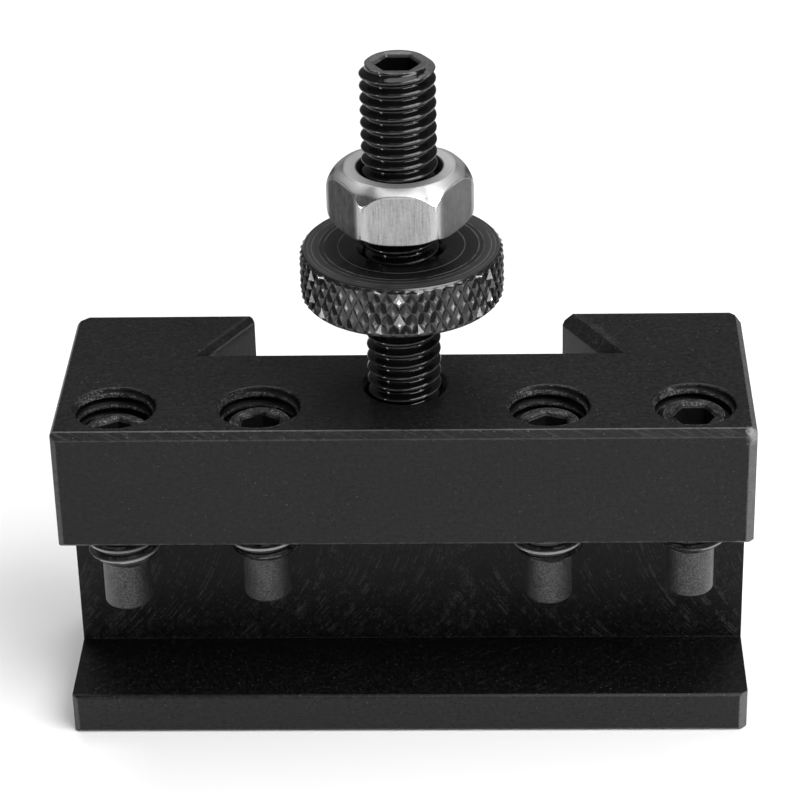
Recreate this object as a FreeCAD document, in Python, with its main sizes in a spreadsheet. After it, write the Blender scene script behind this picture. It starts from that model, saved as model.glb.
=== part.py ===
import FreeCAD, Part
import math
import os
import Sketcher

# Turning and facing tool holder for a dovetail quick change tool post, in millimetres.
# X runs along the holder, +Y points to the dovetail at its back and +Z points up.
# The origin is the centre of the footprint, on the underside of the holder.

doc = FreeCAD.newDocument("ToolHolder")

# ---------------------------------------------------------------- driving dimensions
DIMENSIONS = {
    # holder body
    "body_length": 55.0,
    "body_depth": 20.0,
    "body_height": 28.0,
    "slot_floor": 3.5,            # height of the seat that the tool shank lies on
    "slot_ceiling": 17.8,         # underside of the clamping bar
    "slot_depth": 8.6,            # from the front face to the web
    "groove_depth": 7.0,          # dovetail, from the back face
    "groove_neck": 25.2,          # width at the back face
    "groove_root": 33.28,         # width at the groove's floor, for 60 degree flanks
    "groove_mouth_left": 0.5,     # chamfers where the flanks meet the top and bottom
    "groove_mouth_right": 0.9,
    "top_front_chamfer": 0.55,
    "left_corner_chamfer": 0.4,
    "right_corner_chamfer": 0.65,
    "rear_corner_chamfer": 0.9,
    "ear_tip_chamfer": 0.35,
    "left_rim_chamfer": 0.25,
    "right_rim_chamfer": 0.5,
    "edge_break": 0.25,
    # threads, drawn as their crest cylinders
    "crest_radius": 2.95,         # M6 screws and stud
    "tapped_radius": 3.0,
    "entry_radius": 3.3,          # wider first turns at the top of each screw hole
    "entry_depth": 2.6,
    "screw_countersink": 0.1,
    "stud_countersink": 0.45,
    # clamping screws
    "inner_screw_x": 11.4,
    "outer_screw_x": 22.8,
    "screw_from_front": 4.4,
    "screw_length": 16.0,
    "screw_end_chamfer": 0.5,
    "dog_radius": 1.9,
    "dog_length": 4.2,
    "dog_shoulder": 0.5,          # height of the cone between dog and thread
    "dog_chamfer": 0.3,
    "socket_flats": 3.0,
    "socket_depth": 3.5,
    "tip_height_left": 10.1,      # how far each screw is fed down, from left to right
    "tip_height_midleft": 10.6,
    "tip_height_midright": 10.4,
    "tip_height_right": 11.1,
    "turn_left": 30.0,            # how far each socket is turned, in degrees
    "turn_midleft": 27.0,
    "turn_midright": 38.0,
    "turn_right": 0.0,
    # height stud
    "stud_from_front": 8.0,
    "stud_length": 35.0,
    "stud_seat": 7.4,             # length of the stud inside the holder
    # height wheel and lock nut
    "wheel_radius": 8.0,
    "wheel_thickness": 4.1,
    "wheel_gap": 8.2,             # between the holder's top and the wheel
    "wheel_rim_chamfer": 0.35,
    "bore_chamfer": 0.5,
    "nut_flats": 10.0,
    "nut_height": 4.7,
    "nut_gap": 2.1,               # between the wheel and the nut
    "nut_face_radius": 4.6,       # flat ring left on each face by the corner chamfer
    "nut_bevel_slope": 0.9,       # fall of that chamfer for each millimetre outwards
}


class Size:
    """A length with the spreadsheet expression that gives it."""

    def __init__(self, value, text):
        self.value = float(value)
        self.text = text

    def joined(self, other, sign, value):
        text = other.text if isinstance(other, Size) else repr(other)
        return Size(value, "(%s %s %s)" % (self.text, sign, text))

    def __add__(self, other):
        return self.joined(other, "+", self.value + number(other))

    def __sub__(self, other):
        return self.joined(other, "-", self.value - number(other))

    def __mul__(self, other):
        return self.joined(other, "*", self.value * number(other))

    def __truediv__(self, other):
        return self.joined(other, "/", self.value / number(other))

    def __neg__(self):
        return self * -1


def number(size):
    return size.value if isinstance(size, Size) else size


class Sizes:
    """The spreadsheet's aliases, each one as a Size."""


sheet = doc.addObject("Spreadsheet::Sheet", "Dimensions")
d = Sizes()
for row, (alias, value) in enumerate(DIMENSIONS.items(), start=1):
    sheet.set("A%d" % row, alias)
    sheet.set("B%d" % row, str(value))
    sheet.setAlias("B%d" % row, alias)
    setattr(d, alias, Size(value, "Dimensions." + alias))
doc.recompute()

ZERO = Size(0, "0")
OVERSHOOT = 1.0                   # how far a cut runs past the face it opens
TOUCH = 1e-4                      # two coordinates closer than this are the same

half_length = d.body_length / 2
front = -d.body_depth / 2
back = d.body_depth / 2
web_front = front + d.slot_depth
groove_floor = back - d.groove_depth
screw_y = front + d.screw_from_front
stud_y = front + d.stud_from_front


# ---------------------------------------------------------------- modelling helpers
def new_body(label):
    body = doc.addObject("PartDesign::Body", label)
    body.Label = label
    return body


def new_sketch(body, name, role, height=None):
    """A sketch on one of the body's own origin planes, raised by height."""
    sketch = body.newObject("Sketcher::SketchObject", body.Name + "_" + name)
    plane = next(f for f in body.Origin.OriginFeatures if f.Role == role)
    sketch.AttachmentSupport = [(plane, "")]
    sketch.MapMode = "FlatFace"
    if height is not None:
        sketch.setExpression("AttachmentOffset.Base.z", height.text)
    return sketch


def bind(sketch, constraint, size):
    index = sketch.addConstraint(constraint)
    sketch.setExpression("Constraints[%d]" % index, size.text)


def add_outline(sketch, points):
    """A closed outline of straight lines, every corner held by the spreadsheet."""
    start = sketch.GeometryCount
    count = len(points)
    corners = [FreeCAD.Vector(x.value, y.value, 0) for x, y in points]
    for i in range(count):
        sketch.addGeometry(Part.LineSegment(corners[i], corners[(i + 1) % count]), False)
    for i in range(count):
        following = start + (i + 1) % count
        sketch.addConstraint(Sketcher.Constraint("Coincident", start + i, 2, following, 1))
    for i, (x, y) in enumerate(points):
        bind(sketch, Sketcher.Constraint("DistanceX", start + i, 1, x.value), x)
        bind(sketch, Sketcher.Constraint("DistanceY", start + i, 1, y.value), y)


def add_circle(sketch, x, y, radius):
    centre = FreeCAD.Vector(x.value, y.value, 0)
    circle = sketch.addGeometry(Part.Circle(centre, FreeCAD.Vector(0, 0, 1), radius.value), False)
    bind(sketch, Sketcher.Constraint("Radius", circle, radius.value), radius)
    bind(sketch, Sketcher.Constraint("DistanceX", circle, 3, x.value), x)
    bind(sketch, Sketcher.Constraint("DistanceY", circle, 3, y.value), y)


def add_hexagon(sketch, across_flats):
    """A hexagon about the sketch's origin with corners on its X axis."""
    corner = across_flats / (2 * math.cos(math.pi / 6))
    angles = [math.pi / 3 * i for i in range(6)]
    add_outline(sketch, [(corner * round(math.cos(a), 9), corner * round(math.sin(a), 9))
                         for a in angles])


def pad(body, name, sketch, length, midplane=False):
    feature = body.newObject("PartDesign::Pad", body.Name + "_" + name)
    feature.Profile = sketch
    feature.setExpression("Length", length.text)
    feature.Midplane = midplane
    return feature


def pocket(body, name, sketch, depth, upwards=False):
    """Cut downwards from the sketch, or upwards, and stop if nothing was removed."""
    doc.recompute()
    before = body.Shape.Volume
    feature = body.newObject("PartDesign::Pocket", body.Name + "_" + name)
    feature.Profile = sketch
    feature.Reversed = upwards
    feature.setExpression("Length", depth.text)
    doc.recompute()
    if body.Shape.Volume > before - TOUCH:
        raise RuntimeError(feature.Name + " removed nothing")
    return feature


def revolve(body, name, sketch):
    feature = body.newObject("PartDesign::Revolution", body.Name + "_" + name)
    feature.Profile = sketch
    feature.ReferenceAxis = (sketch, ["V_Axis"])
    feature.Angle = 360.0
    return feature


def groove(body, name, sketch):
    """Turn a profile away around Z, and stop if nothing was removed."""
    doc.recompute()
    before = body.Shape.Volume
    feature = body.newObject("PartDesign::Groove", body.Name + "_" + name)
    feature.Profile = sketch
    feature.ReferenceAxis = (sketch, ["V_Axis"])
    feature.Angle = 360.0
    doc.recompute()
    if body.Shape.Volume > before - TOUCH:
        raise RuntimeError(feature.Name + " removed nothing")
    return feature


def chamfer(body, name, size, chosen):
    """Chamfer the edges of the body's tip whose bounding boxes are chosen."""
    doc.recompute()
    base = body.Tip
    edges = ["Edge%d" % (i + 1) for i, edge in enumerate(base.Shape.Edges)
             if chosen(edge.BoundBox)]
    if not edges:
        raise RuntimeError(name + " found no edge")
    feature = body.newObject("PartDesign::Chamfer", body.Name + "_" + name)
    feature.Base = (base, edges)
    feature.setExpression("Size", size.text)
    doc.recompute()
    return feature


def near(low, high, size):
    """True where a box's two limits both lie on one coordinate."""
    return abs(low - size.value) < TOUCH and abs(high - size.value) < TOUCH


def hexagon_socket(body, top):
    """The hexagon socket that a key turns, cut down from the height given."""
    sketch = new_sketch(body, "socket_outline", "XY_Plane", top)
    add_hexagon(sketch, d.socket_flats)
    pocket(body, "socket", sketch, d.socket_depth)


def place(body, x, y, z, turn=ZERO):
    for axis, size in (("x", x), ("y", y), ("z", z)):
        body.setExpression("Placement.Base." + axis, size.text)
    body.Placement.Rotation.Axis = FreeCAD.Vector(0, 0, 1)
    body.setExpression("Placement.Rotation.Angle", turn.text)


# ---------------------------------------------------------------- holder body
def build_holder():
    body = new_body("holder_body")
    top = d.body_height

    section = new_sketch(body, "section", "YZ_Plane")
    add_outline(section, [
        (front, ZERO), (back, ZERO), (back, top), (front, top),
        (front, d.slot_ceiling), (web_front, d.slot_ceiling),
        (web_front, d.slot_floor), (front, d.slot_floor)])
    pad(body, "block", section, d.body_length, midplane=True)

    # The flanks are carried past the back face along their own slope.
    past_back = back + OVERSHOOT
    slope = (d.groove_root - d.groove_neck) / 2 / d.groove_depth
    neck = d.groove_neck / 2 - slope * OVERSHOOT
    root = d.groove_root / 2
    dovetail = new_sketch(body, "dovetail", "XY_Plane", top)
    add_outline(dovetail, [(-neck, past_back), (-root, groove_floor),
                           (root, groove_floor), (neck, past_back)])
    pocket(body, "dovetail_groove", dovetail, top)

    screw_xs = (-d.outer_screw_x, -d.inner_screw_x, d.inner_screw_x, d.outer_screw_x)
    screw_holes = new_sketch(body, "screw_hole_circles", "XY_Plane", top)
    entries = new_sketch(body, "screw_entry_circles", "XY_Plane", top)
    for x in screw_xs:
        add_circle(screw_holes, x, screw_y, d.tapped_radius)
        add_circle(entries, x, screw_y, d.entry_radius)
    pocket(body, "screw_holes", screw_holes, top - d.slot_ceiling)
    pocket(body, "screw_entries", entries, d.entry_depth)

    stud_hole = new_sketch(body, "stud_hole_circle", "XY_Plane", top)
    add_circle(stud_hole, ZERO, stud_y, d.tapped_radius)
    pocket(body, "stud_hole", stud_hole, d.stud_seat)

    def hole_rim(radius):
        return lambda b: near(b.ZMin, b.ZMax, top) and abs(b.XLength - 2 * radius.value) < 0.01

    def flank_end(side):
        """The sloping edges of one flank, at the top and the bottom of the groove."""
        def chosen(b):
            flat = near(b.ZMin, b.ZMax, top) or near(b.ZMin, b.ZMax, ZERO)
            within = abs(b.YMin - groove_floor.value) < TOUCH and b.YLength > 1
            return flat and within and side * b.Center.x > 0
        return chosen

    def corner(x, y):
        return lambda b: near(b.XMin, b.XMax, x) and near(b.YMin, b.YMax, y)

    def rim(x):
        def chosen(b):
            return near(b.XMin, b.XMax, x) and near(b.ZMin, b.ZMax, top)
        return chosen

    chamfer(body, "screw_countersinks", d.screw_countersink, hole_rim(d.entry_radius))
    chamfer(body, "stud_countersink", d.stud_countersink, hole_rim(d.tapped_radius))
    chamfer(body, "mouth_left", d.groove_mouth_left, flank_end(-1))
    chamfer(body, "mouth_right", d.groove_mouth_right, flank_end(1))
    chamfer(body, "corners_left", d.left_corner_chamfer, corner(-half_length, front))
    chamfer(body, "corners_right", d.right_corner_chamfer, corner(half_length, front))
    chamfer(body, "corners_rear", d.rear_corner_chamfer,
            lambda b: corner(half_length, back)(b) or corner(-half_length, back)(b))
    chamfer(body, "ear_tips", d.ear_tip_chamfer, lambda b: corner(d.groove_neck / 2, back)(b)
            or corner(-d.groove_neck / 2, back)(b))
    chamfer(body, "top_front", d.top_front_chamfer,
            lambda b: near(b.YMin, b.YMax, front) and near(b.ZMin, b.ZMax, top))
    chamfer(body, "rim_left", d.left_rim_chamfer, rim(-half_length))
    chamfer(body, "rim_right", d.right_rim_chamfer, rim(half_length))
    chamfer(body, "slot_edges", d.edge_break, lambda b: near(b.YMin, b.YMax, front) and (
        near(b.ZMin, b.ZMax, d.slot_floor) or near(b.ZMin, b.ZMax, d.slot_ceiling)))
    chamfer(body, "underside", d.edge_break,
            lambda b: near(b.YMin, b.YMax, front) and near(b.ZMin, b.ZMax, ZERO))
    return body


# ---------------------------------------------------------------- clamping screws
def build_set_screw(label, x, tip_height, turn):
    """A socket set screw with a dog point, its tip on its own origin."""
    body = new_body(label)
    dog = d.dog_radius
    crest = d.crest_radius
    length = d.screw_length
    thread_start = d.dog_length + d.dog_shoulder
    profile = new_sketch(body, "profile", "XZ_Plane")
    add_outline(profile, [
        (ZERO, ZERO), (dog - d.dog_chamfer, ZERO), (dog, d.dog_chamfer),
        (dog, d.dog_length), (crest, thread_start), (crest, length - d.screw_end_chamfer),
        (crest - d.screw_end_chamfer, length), (ZERO, length)])
    revolve(body, "shank", profile)
    hexagon_socket(body, length)
    place(body, x, screw_y, tip_height, turn)
    return body


# ---------------------------------------------------------------- height stud, wheel and nut
def build_stud():
    body = new_body("height_stud")
    crest = d.crest_radius
    length = d.stud_length
    bevel = d.screw_end_chamfer
    profile = new_sketch(body, "profile", "XZ_Plane")
    add_outline(profile, [
        (ZERO, ZERO), (crest - bevel, ZERO), (crest, bevel), (crest, length - bevel),
        (crest - bevel, length), (ZERO, length)])
    revolve(body, "shank", profile)
    hexagon_socket(body, length)
    place(body, ZERO, stud_y, d.body_height - d.stud_seat)
    return body


def build_wheel():
    body = new_body("height_wheel")
    bore = d.tapped_radius
    rim = d.wheel_radius
    height = d.wheel_thickness
    bevel = d.wheel_rim_chamfer
    profile = new_sketch(body, "profile", "XZ_Plane")
    add_outline(profile, [
        (bore, d.bore_chamfer), (bore + d.bore_chamfer, ZERO), (rim - bevel, ZERO),
        (rim, bevel), (rim, height - bevel), (rim - bevel, height),
        (bore + d.bore_chamfer, height), (bore, height - d.bore_chamfer)])
    revolve(body, "disc", profile)
    place(body, ZERO, stud_y, d.body_height + d.wheel_gap)
    return body


def build_nut():
    body = new_body("lock_nut")
    height = d.nut_height
    corner = d.nut_flats / math.sqrt(3)
    outside = corner + OVERSHOOT
    fall = (outside - d.nut_face_radius) * d.nut_bevel_slope
    hexagon = new_sketch(body, "hexagon", "XY_Plane")
    add_hexagon(hexagon, d.nut_flats)
    pad(body, "prism", hexagon, height)
    bevels = new_sketch(body, "corner_bevels", "XZ_Plane")
    add_outline(bevels, [(d.nut_face_radius, height), (outside, height - fall), (outside, height)])
    add_outline(bevels, [(d.nut_face_radius, ZERO), (outside, ZERO), (outside, fall)])
    groove(body, "bevel_cut", bevels)
    bore = d.tapped_radius
    bevel = d.bore_chamfer
    bore_profile = new_sketch(body, "bore_profile", "XZ_Plane")
    add_outline(bore_profile, [
        (ZERO, ZERO), (bore + bevel, ZERO), (bore, bevel), (bore, height - bevel),
        (bore + bevel, height), (ZERO, height)])
    groove(body, "bore", bore_profile)
    place(body, ZERO, stud_y, d.body_height + d.wheel_gap + d.wheel_thickness + d.nut_gap)
    return body


# ---------------------------------------------------------------- assembly and export
parts = [build_holder()]
screws = (
    ("set_screw_left", -d.outer_screw_x, d.tip_height_left, d.turn_left),
    ("set_screw_midleft", -d.inner_screw_x, d.tip_height_midleft, d.turn_midleft),
    ("set_screw_midright", d.inner_screw_x, d.tip_height_midright, d.turn_midright),
    ("set_screw_right", d.outer_screw_x, d.tip_height_right, d.turn_right),
)
for label, x, tip_height, turn in screws:
    parts.append(build_set_screw(label, x, tip_height, turn))
parts += [build_stud(), build_wheel(), build_nut()]
doc.recompute()

failed = [item.Name for item in doc.Objects if {"Invalid", "Error"} & set(item.State)]
if failed:
    raise RuntimeError("failed objects: " + ", ".join(failed))
for part in parts:
    if part.Shape.isNull() or not part.Shape.isValid() or len(part.Shape.Solids) != 1:
        raise RuntimeError(part.Label + " is not one valid solid")

os.makedirs("parts", exist_ok=True)
for part in parts:
    part.Shape.exportStep("parts/%s.step" % part.Label)
    box = part.Shape.BoundBox
    print("%-20s %8.1f mm3   x %6.2f %6.2f   y %6.2f %6.2f   z %6.2f %6.2f" % (
        part.Label, part.Shape.Volume, box.XMin, box.XMax, box.YMin, box.YMax,
        box.ZMin, box.ZMax))
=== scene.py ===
import math

import bmesh
import bpy
import numpy as np
from mathutils import Matrix, Vector


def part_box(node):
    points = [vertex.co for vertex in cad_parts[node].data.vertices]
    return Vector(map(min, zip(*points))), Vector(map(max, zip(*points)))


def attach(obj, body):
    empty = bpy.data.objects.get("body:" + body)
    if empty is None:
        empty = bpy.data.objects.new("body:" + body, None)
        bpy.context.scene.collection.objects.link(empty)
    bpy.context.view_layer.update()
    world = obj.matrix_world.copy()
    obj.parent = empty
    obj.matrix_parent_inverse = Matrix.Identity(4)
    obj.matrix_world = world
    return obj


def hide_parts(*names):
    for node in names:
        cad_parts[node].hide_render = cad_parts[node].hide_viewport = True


# A turning tool holder for a dovetail quick change post: the blackened holder, four clamping
# screws, the height stud, and the knurled height wheel with its lock nut.
# Sizes are in millimetres and angles in degrees; the meshes are written in metres.
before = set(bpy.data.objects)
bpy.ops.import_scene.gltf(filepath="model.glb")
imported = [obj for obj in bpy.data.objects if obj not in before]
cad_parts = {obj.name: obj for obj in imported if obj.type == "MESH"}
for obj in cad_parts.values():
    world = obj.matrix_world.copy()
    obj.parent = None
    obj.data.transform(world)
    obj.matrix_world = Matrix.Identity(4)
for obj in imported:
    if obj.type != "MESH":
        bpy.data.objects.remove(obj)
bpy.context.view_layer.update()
mm = 0.001


def nodeBox(node):
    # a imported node's lowest and highest corner and its middle, in millimetres
    low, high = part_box(node)
    return low / mm, high / mm, (low + high) / 2 / mm


class Wire:
    # one socket of a material; sums and products of wires write their own Math nodes
    def __init__(self, tree, socket=None):
        self.tree, self.socket = tree, socket

    def node(self, kind, settings=(), inputs=(), output=0):
        made = self.tree.nodes.new(kind)
        for key, value in dict(settings).items():
            setattr(made, key, value)
        for key, value in dict(inputs).items():
            if isinstance(value, Wire):
                self.tree.links.new(value.socket, made.inputs[key])
            else:
                made.inputs[key].default_value = value
        return Wire(self.tree, made.outputs[output] if made.outputs else None)

    def calc(self, operation, *values):
        return self.node("ShaderNodeMath", {"operation": operation}, dict(enumerate(values)))

    def __add__(self, other):
        return self.calc("ADD", self, other)

    def __radd__(self, other):
        return self.calc("ADD", other, self)

    def __sub__(self, other):
        return self.calc("SUBTRACT", self, other)

    def __rsub__(self, other):
        return self.calc("SUBTRACT", other, self)

    def __mul__(self, other):
        return self.calc("MULTIPLY", self, other)

    def __rmul__(self, other):
        return self.calc("MULTIPLY", other, self)

    def __pow__(self, other):
        return self.calc("POWER", self, other)

    def __abs__(self):
        return self.calc("ABSOLUTE", self)


def grey(shade):
    return (shade, shade, shade, 1.0)


def most(first, *others):
    for other in others:
        first = first.calc("MAXIMUM", first, other)
    return first


def ease(value, start, end):
    # 0 at start and 1 at end, easing between them; start may be the larger
    return value.node("ShaderNodeMapRange", {"interpolation_type": "SMOOTHSTEP"},
                      {"Value": value, "From Min": start, "From Max": end})


def blend(mask, low, high):
    # a colour: low where the mask is 0, high where it is 1
    return mask.node("ShaderNodeMix", {"data_type": "RGBA"}, {0: mask, 6: low, 7: high}, 2)


def speckle(place, density, detail=3.0, roughness=0.55):
    # noise in 0..1 with that many features to the millimetre along x, y and z
    spread = place.node("ShaderNodeVectorMath", {"operation": "MULTIPLY"}, {0: place, 1: density})
    return place.node("ShaderNodeTexNoise", (),
                      {"Vector": spread, "Scale": 1.0, "Detail": detail, "Roughness": roughness})


def join(place, x, y, z):
    return place.node("ShaderNodeCombineXYZ", (), {"X": x, "Y": y, "Z": z})


def split(vector):
    made = vector.node("ShaderNodeSeparateXYZ", (), {0: vector}).socket.node
    return [Wire(vector.tree, out) for out in made.outputs]


def startFinish(name):
    # a new material, the place on it in millimetres, its x, y and z, and the mesh's own wear, which on
    # the nut holds a painted highlight
    material = bpy.data.materials.new(name)
    material.use_nodes = True
    material.node_tree.nodes.clear()
    start = Wire(material.node_tree)
    metres = start.node("ShaderNodeTexCoord", output=3)
    place = start.node("ShaderNodeVectorMath", {"operation": "MULTIPLY"},
                       {0: metres, 1: (1 / mm, 1 / mm, 1 / mm)})
    wearAndHighlight = start.node("ShaderNodeAttribute", {"attribute_name": "wearAndHighlight"}, output=2)
    return material, place, *split(place), wearAndHighlight


def endFinish(material, colour, roughness, metallic, relief, depth, fixed):
    # relief is 0..1 and depth its size in millimetres; fixed holds the shader's plain settings
    bump = relief.node("ShaderNodeBump", (),
                       {"Strength": 1.0, "Distance": depth * mm, "Height": relief})
    shader = relief.node("ShaderNodeBsdfPrincipled", (), {
        "Base Color": colour, "Roughness": roughness, "Metallic": metallic, "Normal": bump, **fixed})
    relief.node("ShaderNodeOutputMaterial", (), {"Surface": shader})
    return material


def ringStack(rows, angles):
    # Each row is (radius, height, wear), a number or one value for each angle. Point = (r cos a,
    # r sin a, h): the rows are rings about the axis, and a goes once round it.
    stack = [[np.broadcast_to(part, angles.shape) for part in row] for row in rows]
    radius, height, wearAndHighlight = np.moveaxis(np.array(stack, float), 1, 0)
    return np.stack([radius * np.cos(angles), radius * np.sin(angles), height, wearAndHighlight], axis=-1)


def fullTurn(columns):
    return np.linspace(0, 2 * np.pi, columns + 1)


def threadStrip(t):
    # A strip one pitch wide wound along the helix: u counts turns and v goes across the strip.
    # height = bottom + pitch (u + v - 1 - lead), held between bottom and top, and radius = root +
    # (crest - root) ridge(v), where ridge = 0.5 + fullness cos(2 pi v), cut off at 0 and 1 and raised
    # to the power sharpness. Each end is bevelled by a cone that starts at the end's radius. An inner
    # thread has its crest inside its root. Wear is crestWear on the ridge, footWear more on the
    # lowest turns (all of it for 1.2 turns, none from 3.2 turns up), and endWear on the bevels.
    side = 1 if t["crest"] > t["root"] else -1
    turns = math.ceil((t["top"] - t["bottom"]) / t["pitch"]) + 2
    u = np.arange(turns * t["columns"] + 1)[None, :] / t["columns"]
    v = np.linspace(0, 1, t["rows"] + 1)[:, None]
    height = np.clip(t["bottom"] + t["pitch"] * (u + v - 1 - t["lead"]), t["bottom"], t["top"])
    ridge = np.clip(0.5 + t["fullness"] * np.cos(2 * np.pi * (v + 0 * u)), 0, 1) ** t["sharpness"]
    radius = side * (t["root"] + (t["crest"] - t["root"]) * ridge)
    bevel = np.minimum(side * t["bottomRadius"] + t["bevelSlope"] * (height - t["bottom"]),
                       side * t["topRadius"] + t["bevelSlope"] * (t["top"] - height))
    atFoot = np.clip(1.6 - (height - t["bottom"]) / t["pitch"] / 2, 0, 1)
    rubbed = t["crestWear"] + t["footWear"] * atFoot
    wearAndHighlight = np.where(radius <= bevel, ridge * rubbed, t["endWear"])
    radius = side * np.minimum(radius, bevel)
    angle = 2 * np.pi * u + 0 * v
    return np.stack([radius * np.cos(angle), radius * np.sin(angle), height, wearAndHighlight], axis=-1)


def hexagonRadius(angles, flats, cornerAt, rounding):
    # distance from the axis to a hexagon's side in each direction, its corners rounded by an arc
    turned = (angles - math.radians(cornerAt) + np.pi / 6) % (np.pi / 3) - np.pi / 6
    side = flats / 2 / np.cos(np.pi / 6 - np.abs(turned))
    centre = (flats / 2 - rounding) / math.cos(math.pi / 6)
    tangent = math.atan2(rounding / 2, centre + rounding * math.cos(math.pi / 6))
    inside = np.maximum(rounding ** 2 - (centre * np.sin(turned)) ** 2, 0)
    return np.where(np.abs(turned) < tangent, centre * np.cos(turned) + np.sqrt(inside), side)


def gridFaces(rows, columns, first, diagonal):
    # the corners of each cell of a grid; with diagonal, each cell is two triangles, cut between its
    # even points (row + column even)
    index = first + np.arange(rows * columns).reshape(rows, columns)
    a, b, c, d = index[:-1, :-1], index[:-1, 1:], index[1:, 1:], index[1:, :-1]
    if not diagonal:
        return np.stack([a, b, c, d], axis=-1).reshape(-1, 4).tolist()
    even = (np.add.outer(np.arange(rows - 1), np.arange(columns - 1)) % 2 == 0)[..., None]
    one = np.where(even, np.stack([a, b, c], -1), np.stack([a, b, d], -1)).reshape(-1, 3)
    two = np.where(even, np.stack([a, c, d], -1), np.stack([b, c, d], -1)).reshape(-1, 3)
    return one.tolist() + two.tolist()


def buildPiece(name, grids, axis, finish, sharp, lattice=()):
    # One closed mesh from several grids of (x, y, z, wear), moved to axis (x, y): their shared edges,
    # seams and poles are merged and the faces turned outwards. Edges past sharp degrees stay sharp,
    # and lattice holds the numbers of the grids that are cut diagonally.
    points, faces = [], []
    for number, grid in enumerate(grids):
        faces += gridFaces(*grid.shape[:2], sum(map(len, points)), number in lattice)
        points.append(grid.reshape(-1, 4))
    points = np.concatenate(points)
    mesh = bpy.data.meshes.new(name)
    mesh.from_pydata(((points[:, :3] + (*axis, 0)) * mm).tolist(), [], faces)
    wearAndHighlight = mesh.attributes.new("wearAndHighlight", "FLOAT", "POINT")
    wearAndHighlight.data.foreach_set("value", points[:, 3].astype(np.float32))
    closeMesh(mesh, sharp)
    piece = bpy.data.objects.new(name, mesh)
    bpy.context.collection.objects.link(piece)
    mesh.materials.append(finish)
    return piece


def closeMesh(mesh, sharp):
    work = bmesh.new()
    work.from_mesh(mesh)
    bmesh.ops.remove_doubles(work, verts=work.verts, dist=2e-7)
    bmesh.ops.recalc_face_normals(work, faces=work.faces)
    work.to_mesh(mesh)
    work.free()
    mesh.shade_smooth()
    mesh.set_sharp_from_angle(angle=math.radians(sharp))


def roundEdges(piece, width, segments, angle):
    # a live bevel, width in millimetres, on edges that turn by more than angle degrees
    bevel = piece.modifiers.new("edge", "BEVEL")
    bevel.width, bevel.segments = width * mm, segments
    bevel.limit_method, bevel.angle_limit = "ANGLE", math.radians(angle)
    bevel.harden_normals = True


def settle(piece, body, node):
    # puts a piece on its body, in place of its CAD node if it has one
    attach(piece, body)
    if node:
        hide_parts(node)
    print("made", piece.name, len(piece.data.polygons), "faces")


holderValues = {
    "oxide": 0.0075,          # how light the blackened steel is
    "bareSteel": 0.42,        # where it is rubbed bright
    "roughness": 0.30,
    "chamfer": 0.55,          # along the top front edge
    "slotCeiling": 17.8,
    "slotFloor": 3.5,
    "webFront": -1.4,         # y of the slot's back wall
    "neckHalf": 12.6,         # half the dovetail's width at the back face
    "rootHalf": 16.64,        # and at its floor
    "grooveFloor": 3.0,       # y of that floor
    "leftMouth": 0.5,         # chamfer along the dovetail's left top edge
    "leftCorner": 0.4, "rightCorner": 0.65,       # chamfers on the front's upright corners
    "leftGround": 0.35, "rightGround": 0.65,      # middle of the hand-ground strip beside each flank
    "cutterRadius": 19.0,     # of the cutter marks on the slot's back wall
    "edgeRound": 0.07,
    "flatWithin": 0.5,        # faces that turn by less are made one, in degrees
    "sharpFrom": 25,          # and edges that turn by more stay sharp
    "specular": 0.18, "reliefDepth": 0.006,
}


def edgeLine(first, firstAt, second, secondAt, width, ragged):
    # 1 along the line where two coordinates both take these values, fading out at about width, with
    # the noise ragged roughening its edge
    away = ((first - firstAt) ** 2.0 + (second - secondAt) ** 2.0) ** 0.5
    return ease(away + (ragged - 0.5) * width * 1.6, width, width * 0.35)


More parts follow.
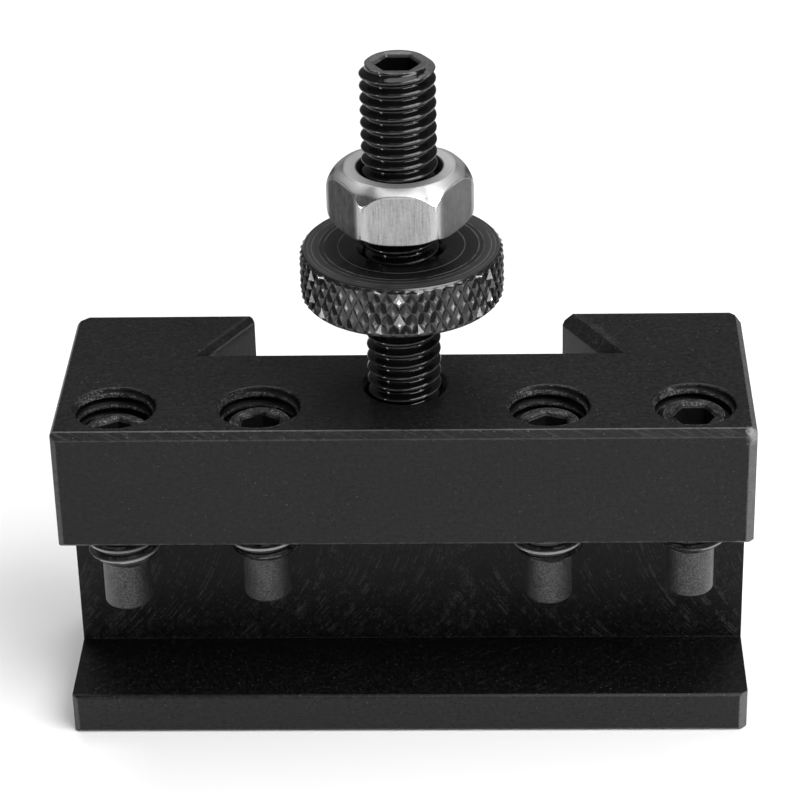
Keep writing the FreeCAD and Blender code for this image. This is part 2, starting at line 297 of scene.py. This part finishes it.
def holderFinish(s):
    material, here, x, y, z, _ = startFinish("blackened_holder")
    low, high, _ = nodeBox("holder_body")
    web, ceiling, seat, chamfer = s["webFront"], s["slotCeiling"], s["slotFloor"], s["chamfer"]
    blotch = speckle(here, (0.16, 0.16, 0.16), 2.0)
    grain = speckle(here, (2.6, 2.6, 2.6), 4.0, 0.65)
    ragged = speckle(here, (1.7, 1.7, 1.7), 3.0, 0.6)
    fine = speckle(here, (9.0, 9.0, 9.0), 2.0, 0.6)
    ground = speckle(here, (0.35, 16.0, 16.0), 3.0, 0.6)       # grinding marks along the holder

    # marks of a round cutter fed along the slot's back wall, thin arcs where a noise over
    # x -+ sqrt(cutterRadius^2 - drop^2) crosses its middle value: the cutter's leading edge on the
    # left of the wall, its trailing edge on the right
    drop = z - ceiling
    bulge = (s["cutterRadius"] ** 2 - drop * drop) ** 0.5
    onRight = ease(x, 0.0, 9.0)
    leading, trailing = [
        here.node("ShaderNodeTexNoise", {"noise_dimensions": "1D"},
                  {"W": x + bulge * way, "Scale": 1.1, "Detail": 4.0, "Roughness": 0.8})
        for way in (-1.0, 1.0)]
    broken = speckle(here, (1.1, 1.1, 0.7), 4.0, 0.75)
    arcs = leading * (1.0 - onRight) + trailing * onRight
    arcs = ease(abs(arcs - 0.5), 0.035, 0.004) * ease(broken, 0.47, 0.60)
    inSlot = ease(y, web - 0.05, web - 0.02) * ease(z, ceiling, ceiling - 0.1)
    inSlot = inSlot * ease(z, seat - 0.1, seat) * ease(y, web + 0.3, web + 0.1)

    # the ground chamfer along the top front edge, with its marks running slantwise
    slanted = speckle(join(here, x + z * 3.2, y, z), (2.4, 0.4, 0.6), 4.0, 0.75)
    chamferTop = ease((y - low.y) + (high.z - z), chamfer + 0.08, chamfer - 0.02)
    leftStrip = ease((x - low.x) + (y - low.y), s["leftCorner"] + 0.08, s["leftCorner"])
    rightStrip = ease((high.x - x) + (y - low.y), s["rightCorner"] + 0.08, s["rightCorner"])

    # the lip in front of the web: painted light makes its front lighter and painted shade makes its
    # top face darker
    onLip = ease(z, seat + 0.1, seat) * ease(y, web + 0.4, web - 0.1)
    lipFrontPaintedLight = onLip * ease(z, seat - 0.05, seat - 0.2)
    lipTopPaintedShade = onLip - lipFrontPaintedLight

    # rubbed edges: along the top front, the lip, the slot's ceiling, the front's upright corners,
    # the top right corner, the corner chamfers, and the top's right and rear
    topCorner = ease(z, high.z - 2.2, high.z - 0.5)
    rub = most(
        edgeLine(y, low.y, z, high.z - chamfer, 0.09, ragged) * 0.07,
        edgeLine(y, low.y + chamfer, z, high.z, 0.10, ragged) * 0.15,
        edgeLine(y, low.y, z, seat, 0.09, ragged) * 0.05,
        edgeLine(y, low.y, z, ceiling + 0.1, 0.22, ragged) * 0.16,
        edgeLine(x, low.x + s["leftCorner"], y, low.y, 0.12, ragged) * 0.10,
        edgeLine(x, high.x - s["rightCorner"], y, low.y, 0.12, ragged) * 0.10,
        edgeLine(x, high.x - 0.2, y, low.y + 0.3, 0.8, ragged) * topCorner * 0.5,
        leftStrip * (0.04 + ragged * 0.06), rightStrip * (0.12 + ragged * 0.14),
        edgeLine(x, high.x, z, high.z, 0.55, ragged) * 0.05,
        edgeLine(y, high.y, z, high.z, 0.22, ragged) * 0.08)

    # the flanks of the dovetail, measured square to them on each side, and the strips beside their
    # top edges that were ground by hand
    lean = math.atan2(s["rootHalf"] - s["neckHalf"], high.y - s["grooveFloor"])
    leftFlank = (x + s["neckHalf"]) * math.cos(lean) - (y - high.y) * math.sin(lean)
    rightFlank = (x - s["neckHalf"]) * math.cos(lean) + (y - high.y) * math.sin(lean)
    atTop = ease(z, high.z - 1.3, high.z - 0.4)
    atBack = ease(y, s["grooveFloor"] + 1.0, s["grooveFloor"] + 2.2)
    leftGrind = ease(abs(leftFlank + s["leftGround"]) + (ragged - 0.5) * 0.5, 0.55, 0.30)
    rightGrind = ease(abs(rightFlank - s["rightGround"]) + (ragged - 0.5), 1.0, 0.7)
    leftLine = edgeLine(leftFlank, 0.0, z, high.z - s["leftMouth"], 0.13, ragged) * atBack
    grind = most(leftGrind * 0.7, rightGrind) * atTop * atBack
    flank = most(ease(abs(leftFlank), 0.2, 0.1), ease(abs(rightFlank), 0.2, 0.1))
    flank = flank * atBack * ease(z, high.z - 0.3, high.z - 0.7)
    scratch = speckle(join(here, x * 0.5 + y, x - y, z), (1.5, 7.0, 5.0), 3.0, 0.8)

    speck = ease(speckle(here, (4.0, 4.0, 4.0), 1.0), 0.69, 0.75)
    # a few short scratches, where two fine noises agree
    long = speckle(join(here, x * 0.8 + y * 0.6, y * 0.8 - x * 0.6, z), (0.5, 9.0, 5.0), 2.0, 0.6)
    nicks = ease(long, 0.64, 0.70) * ease(blotch, 0.50, 0.58)
    bright = most(
        rub,
        grind * ease(scratch, 0.48, 0.68) * 0.07,
        chamferTop * ease(slanted, 0.50, 0.66) * 0.06,
        leftLine * 0.16,
        # painted shade dims the specks on the slot's back wall
        speck * (0.12 - inSlot * 0.06) + nicks * 0.05,
        inSlot * arcs * 0.075)
    bright = most(bright + (fine - 0.48) * 0.09 + (grain - 0.5) * 0.06 + lipFrontPaintedLight * 0.014, 0.0)
    dark = grain * 0.7 + blotch * 0.5 + 0.4 + (ground - 0.5) * 0.8
    # the ground chamfer and strips are darker from their grinding, and painted shade makes the slot's
    # back wall darker
    dark = dark * (1.0 - chamferTop * 0.5) * (1.0 - grind * 0.45) * (1.0 - inSlot * 0.8)
    # painted light on the lip's front and painted shade on its top
    dark = dark * (1.0 + lipFrontPaintedLight - lipTopPaintedShade * 0.8)
    colour = blend(bright, blend(dark, grey(0.0), grey(s["oxide"])), grey(s["bareSteel"]))
    roughness = (s["roughness"] + (grain - 0.5) * 0.22 + (ground - 0.5) * 0.25
                 + grind * 0.25 + chamferTop * 0.30 + inSlot * 0.12 + flank * 0.2 + lipTopPaintedShade * 0.1)
    relief = (grain * 0.6 + fine * 0.45 + ground * 0.5
              + grind * scratch * 2.0 + inSlot * arcs * 0.8 + chamferTop * slanted * 1.4)
    return endFinish(material, colour, roughness, bright * 0.9, relief, s["reliefDepth"],
                     {"Specular IOR Level": s["specular"]})


def makeHolder(s):
    # a copy of the CAD node, its triangles merged into whole faces and its edges rounded
    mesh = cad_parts["holder_body"].data.copy()
    mesh.name = "holder"
    mesh.materials.clear()
    work = bmesh.new()
    work.from_mesh(mesh)
    bmesh.ops.remove_doubles(work, verts=work.verts, dist=1e-6)
    bmesh.ops.dissolve_limit(work, angle_limit=math.radians(s["flatWithin"]),
                             verts=work.verts, edges=work.edges)
    work.to_mesh(mesh)
    work.free()
    mesh.shade_smooth()
    mesh.set_sharp_from_angle(angle=math.radians(s["sharpFrom"]))
    mesh.materials.append(holderFinish(s))
    piece = bpy.data.objects.new("holder", mesh)
    bpy.context.collection.objects.link(piece)
    roundEdges(piece, s["edgeRound"], 2, s["sharpFrom"])
    settle(piece, "holder", "holder_body")


makeHolder(holderValues)


# the threads that show at the mouths of the screw holes
collarValues = {
    "bottom": 25.42, "top": 27.97, "pitch": 1.0, "columns": 72, "rows": 10, "lead": 0.3,
    "root": 3.27, "crest": 2.98, "fullness": 0.54, "sharpness": 1.5,
    "bottomRadius": 3.27, "topRadius": 3.34, "bevelSlope": 0.55,
    "outside": 3.295,             # radius of the sleeve that carries the thread
    "crestWear": 1.0, "endWear": 0.8, "footWear": 0.0,
    "oxide": 0.005, "bareSteel": 0.24, "roughness": 0.34, "specular": 0.15, "reliefDepth": 0.05,
}


def collarFinish(s):
    material, here, *_, wearAndHighlight = startFinish("tapped_thread")
    chatter = speckle(here, (5.5, 5.5, 9.0), 4.0, 0.8)
    patch = speckle(here, (0.9, 0.9, 0.9), 2.0)
    bright = ease(wearAndHighlight, 0.35, 0.85) * ease(chatter * 0.8 + patch * 0.2, 0.49, 0.60) * 0.5
    # painted shade: the thread's roots are darkened to a tenth of the crests' tone
    black = blend(ease(wearAndHighlight, 0.0, 0.8), grey(s["oxide"] * 0.1), grey(s["oxide"]))
    colour = blend(bright, black, grey(s["bareSteel"]))
    return endFinish(material, colour, s["roughness"] + chatter * 0.2, bright * 0.9, chatter,
                     s["reliefDepth"], {"Specular IOR Level": s["specular"]})


def makeCollars(s):
    finish = collarFinish(s)
    turn = fullTurn(s["columns"])
    for side in ("left", "midleft", "midright", "right"):
        middle = nodeBox("set_screw_" + side)[2]
        sleeve = ringStack([
            (s["topRadius"], s["top"], 0.8), (s["topRadius"] + 0.02, s["top"] - 0.02, 0.5),
            (s["outside"], s["top"] - 0.08, 0), (s["outside"], s["bottom"], 0),
            (s["bottomRadius"], s["bottom"], 0)], turn)
        collar = buildPiece("mouth_thread_" + side, [threadStrip(s), sleeve], middle[:2], finish, 60)
        settle(collar, "holder", None)


makeCollars(collarValues)


screwValues = {
    "pitch": 1.0, "columns": 72, "rows": 10,
    "root": 2.44, "crest": 2.94, "fullness": 0.72, "sharpness": 1.0,
    "bottomRadius": 2.40, "topRadius": 2.42, "bevelSlope": 1.0,
    "crestWear": 0.5, "endWear": 0.25, "footWear": 1.0,
    "dogRadius": 1.89, "dogLength": 4.2, "shoulder": 0.45,
    "socketFlats": 3.0, "socketDepth": 3.4, "socketLead": 0.16,
    "socketRound": 0.05, "leadRadius": 1.95,      # the lead's corners stop at this radius
    "headFrom": 4.0,              # height above the left screw's middle where its head's finish starts
    "oxide": 0.009, "bareSteel": 0.30, "dogShade": 0.285, "roughness": 0.28,
    "specular": 0.3, "reliefDepth": 0.006,
}
# each screw's socket corner in degrees, the chamfer on its dog's end, and where its thread starts
screwOwn = {
    "left": {"corner": 30.0, "tip": 0.32, "lead": 0.1},
    "midleft": {"corner": 27.0, "tip": 0.55, "lead": 0.45},
    "midright": {"corner": 38.0, "tip": 0.4, "lead": 0.7},
    "right": {"corner": 0.0, "tip": 0.3, "lead": 0.25},
}


def screwFinish(s, middle):
    # Wear on these meshes: 0 is black, crests are 0.5, the dog and the head's rim are 1, and the
    # crests of the lowest turns go up to 1.5.
    material, here, _, _, z, wearAndHighlight = startFinish("set_screw_steel")
    grain = speckle(here, (3.5, 3.5, 3.5), 3.0, 0.6)
    turned = speckle(here, (0.4, 0.4, 12.0), 3.0, 0.6)
    patch = speckle(here, (1.0, 1.0, 0.5), 3.0, 0.6)
    dog = ease(wearAndHighlight, 0.75, 0.95)
    crest = ease(wearAndHighlight, 0.32, 0.55) * ease(patch, 0.38, 0.62) * 0.55 * (1.0 - dog)
    onHead = ease(z, middle.z + s["headFrom"], middle.z + s["headFrom"] + 0.2)
    chips = ease(speckle(here, (7.0, 7.0, 7.0), 3.0, 0.7), 0.42, 0.62)
    dogShade = s["dogShade"] + (patch - 0.5) * 0.16 + (grain - 0.5) * 0.2 + (chips - 0.5) * 0.2
    bright = most(crest, dog * dogShade, ease(wearAndHighlight, 1.1, 1.4) * 0.9)
    bright = bright * (1.0 - onHead * dog * (0.92 - chips * 0.75 * ease(patch, 0.35, 0.60)))
    black = blend(grain, grey(s["oxide"] * 0.6), grey(s["oxide"] * 1.3))
    colour = blend(bright, black, grey(s["bareSteel"]))
    roughness = (s["roughness"] + (grain - 0.5) * 0.1 + (turned - 0.5) * 0.1
                 - ease(wearAndHighlight, 0.1, 0.02) * 0.18 + dog * 0.13 + onHead * dog * 0.05)
    relief = grain * 0.4 + turned * 0.6 + dog * chips * 1.8
    return endFinish(material, colour, roughness, most(bright, dog * 0.82), relief,
                     s["reliefDepth"], {"Specular IOR Level": s["specular"]})


def makeScrews(s):
    finish = screwFinish(s, nodeBox("set_screw_left")[2])
    turn = fullTurn(s["columns"])
    for side, own in screwOwn.items():
        low, high, middle = nodeBox("set_screw_" + side)
        bottom, top, tip, radius = low.z, high.z, own["tip"], s["dogRadius"]
        dogTop = bottom + s["dogLength"]
        neck = dogTop + s["shoulder"]
        thread = threadStrip({**s, "bottom": neck, "top": top, "lead": own["lead"]})
        foot = bottom + tip * 0.85
        dog = ringStack([
            (0, bottom, 1), (radius - tip - 0.1, bottom, 1), (radius - tip, bottom + 0.03, 1),
            (radius - 0.06, foot - 0.03, 1), (radius, foot + 0.06, 1),
            (radius, dogTop - 0.1, 1), (radius + 0.06, dogTop, 0.8),
            (s["bottomRadius"], neck, 0.3)], turn)
        # the socket: its lead, a short bright rim, the black hexagon and the drill's cone below it
        socket = hexagonRadius(turn, s["socketFlats"], own["corner"], s["socketRound"])
        lead = np.minimum(socket + s["socketLead"], s["leadRadius"])
        rim, floor = top - s["socketLead"], top - s["socketDepth"]
        head = ringStack([
            (s["topRadius"], top, 1), (s["topRadius"] - 0.1, top, 1), (lead, top, 1),
            (socket, rim, 0.9), (socket, rim - 0.25, 0),
            (socket, floor, 0), (socket * 0.92, floor - 0.1, 0), (0, floor - 0.9, 0)], turn)
        piece = buildPiece("clamp_screw_" + side, [dog, thread, head], middle[:2], finish, 50)
        settle(piece, "screw_" + side, "set_screw_" + side)


makeScrews(screwValues)


studValues = {
    "pitch": 1.0, "columns": 84, "rows": 12, "lead": 0.35,
    "root": 2.40, "crest": 2.94, "fullness": 0.52, "sharpness": 1.35,
    "bottomRadius": 2.40, "topRadius": 2.36, "bevelSlope": 1.25,
    "crestWear": 0.5, "endWear": 0.8, "footWear": 0.0,
    "plainFor": 6.0,              # unthreaded length, out of sight in the holder
    "socketFlats": 3.0, "socketDepth": 3.4, "socketLead": 0.22, "socketRound": 0.05,
    "corner": 0.0,                # of the socket, in degrees
    "oxide": 0.003, "bareSteel": 0.30, "roughness": 0.10, "specular": 0.42, "reliefDepth": 0.003,
}


def studFinish(s):
    # wear on this mesh: 0 is black, crests are 0.5, and the end and its bevel 0.7 to 0.8
    material, here, *_, wearAndHighlight = startFinish("stud_steel_black")
    grain = speckle(here, (5.0, 5.0, 5.0), 3.0, 0.6)
    patch = speckle(here, (0.7, 0.7, 1.0), 3.0, 0.6)
    crest = ease(wearAndHighlight, 0.44, 0.50) * (0.10 + ease(patch, 0.45, 0.70) * 0.22)
    end = ease(wearAndHighlight, 0.68, 0.82)
    bright = most(crest, end * (0.22 + (grain - 0.5) * 0.7))
    colour = blend(bright, grey(s["oxide"]), grey(s["bareSteel"]))
    roughness = s["roughness"] + (grain - 0.5) * 0.10 + end * 0.30
    return endFinish(material, colour, roughness, bright, grain, s["reliefDepth"],
                     {"Specular IOR Level": s["specular"]})


def makeStud(s):
    low, high, middle = nodeBox("height_stud")
    turn = fullTurn(s["columns"])
    start = low.z + s["plainFor"]
    thread = threadStrip({**s, "bottom": start, "top": high.z})
    plain = ringStack([
        (0, low.z, 0), (s["bottomRadius"] - 0.3, low.z, 0), (s["bottomRadius"], low.z + 0.3, 0),
        (s["bottomRadius"], start, 0)], turn)
    socket = hexagonRadius(turn, s["socketFlats"], s["corner"], s["socketRound"])
    floor = high.z - s["socketDepth"]
    head = ringStack([
        (s["topRadius"], high.z, 0.8), (s["topRadius"] - 0.04, high.z, 0.8),
        (socket + s["socketLead"], high.z, 0.8), (socket, high.z - s["socketLead"], 0.7),
        (socket, high.z - 0.35, 0), (socket, floor, 0), (0, floor - 0.8, 0)], turn)
    piece = buildPiece("threaded_stud", [plain, thread, head], middle[:2], studFinish(s), 50)
    settle(piece, "holder", "height_stud")


makeStud(studValues)


wheelValues = {
    "diamonds": 52,               # round the rim
    "rowStep": 0.94,              # half the height of a diamond
    "knurlDepth": 0.28,
    "rimChamfer": 0.36,
    "bore": 3.05, "boreChamfer": 0.5,
    # radius and strength of the turned lines on its faces
    "toolLines": ((4.95, 0.9), (6.05, 1.0), (6.45, 0.7), (7.0, 0.8), (7.35, 0.5)),
    "roughAndPaintedLightFrom": 5.2, "roughAndPaintedLightTo": 7.4, "faceTo": 7.6,      # radii where the faces turn rougher and lighter by painted light, and where they end
    "oxide": 0.005, "bareSteel": 0.30, "roughness": 0.16, "specular": 0.6, "reliefDepth": 0.005,
}


def turnedRings(radius, density, detail, roughness):
    # noise in 0..1 that changes with the distance from an axis only
    return radius.node("ShaderNodeTexNoise", {"noise_dimensions": "1D"},
                       {"W": radius, "Scale": density, "Detail": detail, "Roughness": roughness})


def wheelFinish(s, middle):
    # wear on this mesh: 0 in the knurl's grooves, 1 on its tips, about a half on the rim's chamfers
    material, here, x, y, _, wearAndHighlight = startFinish("wheel_steel_black")
    acrossX, acrossY = x - middle.x, y - middle.y
    radius = (acrossX * acrossX + acrossY * acrossY) ** 0.5
    rings = turnedRings(radius, 4.5, 5.0, 0.75)
    broad = turnedRings(radius, 0.9, 1.0, 0.5)
    outer = ease(radius, s["roughAndPaintedLightFrom"], s["roughAndPaintedLightTo"])
    grain = speckle(here, (4.0, 4.0, 4.0), 3.0, 0.6)
    patch = speckle(here, (0.6, 0.6, 0.6), 2.0)
    onFace = ease(radius, s["faceTo"] + 0.1, s["faceTo"])
    lines = most(*(ease(abs(radius - r), 0.06, 0.01) * share for r, share in s["toolLines"]))
    lines = lines * onFace * ease(patch, 0.25, 0.6)
    # the faces' outer part: its turned marks, and painted light that makes it lighter than the middle
    faceMarksAndPaintedLight = onFace * outer * (ease(rings, 0.45, 0.70) * 0.07 + 0.035)
    knurl = ease(wearAndHighlight, 0.45, 0.90) * (0.28 + ease(patch, 0.46, 0.58))
    bright = most(lines * 0.5, faceMarksAndPaintedLight, knurl)
    black = blend(broad, grey(s["oxide"] * 0.7), grey(s["oxide"] * 1.6))
    colour = blend(bright, black, grey(s["bareSteel"]))
    roughness = s["roughness"] + (grain - 0.5) * 0.06 + onFace * ((rings - 0.5) * 0.2 + outer * 0.20)
    relief = grain * 0.2 + onFace * rings * outer * 1.2 - lines * 2.0
    return endFinish(material, colour, roughness, bright, relief, s["reliefDepth"],
                     {"Specular IOR Level": s["specular"]})


def makeWheel(s):
    # The rim is a lattice with two columns to a diamond and rows half a diamond apart: radius is
    # full where row + column is odd, the diamonds' tips, and sunk by knurlDepth where it is even,
    # the groove crossings. Rows cut short by the chamfers take their depth between their neighbours.
    low, high, middle = nodeBox("height_wheel")
    full = (high.x - low.x) / 2
    turn = fullTurn(2 * s["diamonds"])
    column = np.arange(turn.size)
    half = (high.z - low.z) / 2

    def tipShare(height):
        # 1 on a diamond's tip, 0 at a groove crossing
        row = (height - middle.z) / s["rowStep"]
        below = math.floor(row)
        odd = (below + column) % 2
        share = row - below
        return odd * (1 - share) + (1 - odd) * share

    def rim(height):
        tip = tipShare(height)
        cone = full - s["rimChamfer"] + (half - abs(height - middle.z))
        radius = full - s["knurlDepth"] * (1 - tip)
        return np.minimum(radius, cone), height, np.where(radius < cone, tip, 0.52)

    whole = [middle.z + k * s["rowStep"] for k in (-1, 0, 1)]
    cuts = [0, 0.09, 0.18, 0.27, s["rimChamfer"]]
    heights = [low.z + cut for cut in cuts] + whole + [high.z - cut for cut in cuts[::-1]]
    side = ringStack([rim(height) for height in heights], turn)
    edge, hole = full - s["rimChamfer"], s["bore"]
    steps = np.linspace(edge, hole + s["boreChamfer"], 8)
    topFace = ringStack([(r, high.z, 0) for r in steps], turn)
    bottomFace = ringStack([(r, low.z, 0) for r in steps], turn)
    bore = ringStack([
        (steps[-1], high.z, 0), (hole, high.z - s["boreChamfer"], 0.4),
        (hole, low.z + s["boreChamfer"], 0.4), (steps[-1], low.z, 0)], turn)
    piece = buildPiece("knurled_wheel", [side, topFace, bottomFace, bore], middle[:2],
                       wheelFinish(s, middle), 22, (0,))
    settle(piece, "wheel", "height_wheel")


makeWheel(wheelValues)


nutValues = {
    "flats": 10.0, "faceRadius": 4.25,             # across the flats, and of its round end faces
    "bevelSlope": 0.48, "cornerFall": 1.5,
    "cornerRound": 0.45, "endRound": 0.95,         # of the corners at mid height and at the ends
    "endStep": 0.16,                               # height over which each step of that takes place
    "highlightFrom": 5.45, "highlightOver": 0.2,             # radii where the upright edges take a painted highlight
    "bore": 3.02, "countersink": 3.42,
    "edgeRound": 0.09,
    "steel": 0.42, "roughness": 0.30, "reliefDepth": 0.006,
    "leftPaintedShade": 0.93, "rightPaintedShade": 0.66,     # how much painted shade darkens the facets on each side
    "paintedShadeFrom": 2.9, "paintedShadeTo": 3.5,          # distances from the middle where it sets in
}


def nutFinish(s, middle, high):
    material, here, x, y, z, wearAndHighlight = startFinish("nut_steel_bright")
    acrossX, acrossY = x - middle.x, y - middle.y
    radius = (acrossX * acrossX + acrossY * acrossY) ** 0.5
    rings = turnedRings(radius, 3.0, 4.0, 0.75)
    half = high.z - middle.z
    onFace = ease(abs(z - middle.z), half - 0.06, half - 0.02)
    onSide = 1.0 - onFace
    brushed = speckle(here, (9.0, 9.0, 0.5), 4.0, 0.65)
    grain = speckle(here, (4.0, 4.0, 4.0), 3.0, 0.6)
    patch = speckle(here, (0.45, 0.45, 0.45), 2.0)
    inside = ease(radius, s["countersink"] + 0.02, s["countersink"] - 0.15)
    marks = onFace * rings + onSide * brushed
    onCone = ease(z, high.z - 0.62, high.z - 0.40)             # the upper bevel and the face above it
    # painted shade: the facets on the left are darkened strongly and those on the right less, mottled
    # by a noise; the upright edges and the upper bevel are partly spared, and the shaded sides are
    # also made rougher
    paintedShade = most(ease(acrossX, -s["paintedShadeFrom"], -s["paintedShadeTo"]) * s["leftPaintedShade"],
                ease(acrossX, s["paintedShadeFrom"], s["paintedShadeTo"]) * s["rightPaintedShade"])
    paintedShade = paintedShade * (0.76 + speckle(here, (1.5, 1.5, 0.9), 4.0, 0.75) * 0.48)
    # the plating's tone from its turned and brushed marks, patches and grain, darker on the end faces,
    # with a painted highlight on the upright edges and painted light on the upper bevel and the face
    # above it
    shade = (0.74 + (marks - 0.5) * 1.1 + (patch - 0.5) * 0.30 + (grain - 0.5) * 0.4
             - onFace * 0.28 + wearAndHighlight * 0.35 + onCone * 0.55)
    shade = shade * (1.0 - paintedShade * onSide * (1.0 - wearAndHighlight * 0.9) * (1.0 - onCone * 0.4))
    # painted shade: the countersink and the bore are near black
    colour = blend(inside, blend(shade, grey(0.0), grey(s["steel"])), grey(0.02))
    roughness = (s["roughness"] + (marks - 0.5) * 0.25 + (grain - 0.5) * 0.08
                 + onFace * 0.12 + onCone * 0.16 - wearAndHighlight * 0.04 + paintedShade * 0.12)
    return endFinish(material, colour, roughness, 1.0, marks + grain * 0.3, s["reliefDepth"], {})


def makeNut(s):
    # Sides: a hexagon with rounded corners, cut above and below by a cone, so that each flat ends in
    # the curve where the two meet: fall = (distance of the side - face radius) x slope, and more
    # towards the corners, with the square of what the side stands outside the flats. The lower cut
    # is half as deep. Towards both ends the corners get rounder, in four steps, and one more ring
    # above them makes the upper bevel bulge.
    low, high, middle = nodeBox("lock_nut")
    sextant = np.radians(np.array([
        -30, -26, -22, -18, -14, -10, -6.5, -4, -2.6, -1.76, -1.3, -0.8, -0.3,
        0.3, 0.8, 1.3, 1.76, 2.6, 4, 6.5, 10, 14, 18, 22, 26]))       # closest together at a corner
    angles = np.concatenate([sextant + k * np.pi / 3 for k in range(6)])
    angles = np.append(angles, sextant[0] + 2 * np.pi)
    rounds = np.linspace(s["endRound"], s["cornerRound"], 4)
    ends = [hexagonRadius(angles, s["flats"], 0, rounding) for rounding in rounds]
    outside = ends[0] - s["flats"] / 2
    fall = (ends[0] - s["faceRadius"]) * s["bevelSlope"] + s["cornerFall"] * outside ** 2
    edgeHighlight = np.clip((ends[-1] - s["highlightFrom"]) / s["highlightOver"], 0, 1)       # painted highlight on the upright edges
    topHighlight = np.maximum(edgeHighlight, 0.7)
    shoulder = s["faceRadius"] * 0.45 + ends[0] * 0.55
    # painted highlight and painted light: the upright edges carry it in the wear attribute, and the
    # top ring and the shoulder ring of the upper bevel carry 0.7 of it
    upper = [(ends[k], high.z - fall - s["endStep"] * k, edgeHighlight if k else topHighlight) for k in range(4)]
    upper.insert(0, (shoulder, high.z - fall * 0.42, 0.7))
    lower = [(ends[k], low.z + fall * 0.5 + s["endStep"] * k, edgeHighlight) for k in range(4)]
    sink = s["countersink"] - s["bore"]
    wall = ringStack([
        (s["bore"], low.z + sink, 0), (s["countersink"], low.z, 0), (s["faceRadius"], low.z, 0),
        *lower, *upper[::-1],
        (s["faceRadius"], high.z, 0), (s["countersink"], high.z, 0), (s["bore"], high.z - sink, 0),
        (s["bore"], low.z + sink, 0)], angles)
    piece = buildPiece("hexagon_lock_nut", [wall], middle[:2], nutFinish(s, middle, high), 22)
    roundEdges(piece, s["edgeRound"], 3, 18)
    settle(piece, "nut", "lock_nut")


makeNut(nutValues)


studioValues = {
    "floorSize": 3.0,    # metres
    "floorShade": 0.86,
    "floorDrop": 0.02,   # millimetres below the holder
    "world": 0.12,
    "lights": {          # softboxes: azimuth, elevation, distance in metres, width, height, watts
        "keySoftbox": (52, 52, 0.34, 0.24, 0.24, 1.3),
        "backPanel": (182, 60, 0.60, 0.50, 0.20, 1.6),
        "topPanel": (180, 86, 0.50, 0.36, 0.30, 0.9),
        "leftStrip": (-62, 9, 0.42, 0.045, 0.16, 0.36),
        "rightStrip": (58, 9, 0.42, 0.045, 0.16, 0.32),
        "frontStrip": (21, 40, 0.55, 0.05, 0.08, 0.16),
        "frontLow": (4, 5, 0.50, 0.24, 0.10, 0.15),
    },
    # the camera: its angles in degrees, its distance and the point it looks at in millimetres
    "azimuth": 2.206, "elevation": 28.897, "roll": -1.4485, "distance": 233.28,
    "target": (-0.10, -10.0, 30.95), "lens": 136.6, "sensor": 36.0,
}


def direction(azimuth, elevation):
    # unit vector from the object: azimuth 0 is the front, growing towards +X
    a, e = math.radians(azimuth), math.radians(elevation)
    return Vector((math.sin(a) * math.cos(e), -math.cos(a) * math.cos(e), math.sin(e)))


def makeFloor(s):
    half, drop = s["floorSize"] / 2, -s["floorDrop"] * mm
    u, v = np.meshgrid(np.linspace(-half, half, 3), np.linspace(-half, half, 3))
    points = np.stack([u, v, 0 * u + drop], -1).reshape(-1, 3)
    mesh = bpy.data.meshes.new("floor")
    mesh.from_pydata(points.tolist(), [], gridFaces(3, 3, 0, False))
    floor = bpy.data.objects.new("floor", mesh)
    bpy.context.collection.objects.link(floor)
    material, here, *_ = startFinish("pale_floor")
    cloud = speckle(here, (0.01, 0.01, 0.01), 2.0)
    shade = blend(cloud, grey(s["floorShade"] - 0.01), grey(s["floorShade"] + 0.01))
    mesh.materials.append(endFinish(material, shade, 0.8 + cloud * 0.05, 0.0, cloud, 0.001, {}))


def makeLights(s):
    for name, (azimuth, elevation, distance, width, height, watts) in s["lights"].items():
        lamp = bpy.data.lights.new(name, "AREA")
        lamp.shape, lamp.size, lamp.size_y, lamp.energy = "RECTANGLE", width, height, watts
        light = bpy.data.objects.new(name, lamp)
        bpy.context.collection.objects.link(light)
        away = direction(azimuth, elevation)
        light.visible_camera = False
        light.location = away * distance + Vector((0, 0, 0.03))
        light.rotation_euler = away.to_track_quat("Z", "Y").to_euler()
    world = bpy.data.worlds.new("studio")
    world.use_nodes = True
    world.node_tree.nodes["Background"].inputs["Color"].default_value = grey(1.0)
    world.node_tree.nodes["Background"].inputs["Strength"].default_value = s["world"]
    bpy.context.scene.world = world


def makeCamera(s):
    data = bpy.data.cameras.new("camera")
    data.lens, data.sensor_width, data.clip_start = s["lens"], s["sensor"], 0.01
    camera = bpy.data.objects.new("camera", data)
    bpy.context.collection.objects.link(camera)
    away = direction(s["azimuth"], s["elevation"])
    right = (-away).cross(Vector((0, 0, 1))).normalized()
    up = right.cross(-away)
    tilt = math.radians(s["roll"])
    across = right * math.cos(tilt) + up * math.sin(tilt)
    upright = up * math.cos(tilt) - right * math.sin(tilt)
    spot = Vector(s["target"]) * mm + away * s["distance"] * mm
    turned = Matrix((across, upright, away)).transposed().to_4x4()
    camera.matrix_world = Matrix.Translation(spot) @ turned
    bpy.context.scene.camera = camera


makeFloor(studioValues)
makeLights(studioValues)
makeCamera(studioValues)
bpy.context.scene.view_settings.view_transform = "Standard"
print("studio ready")
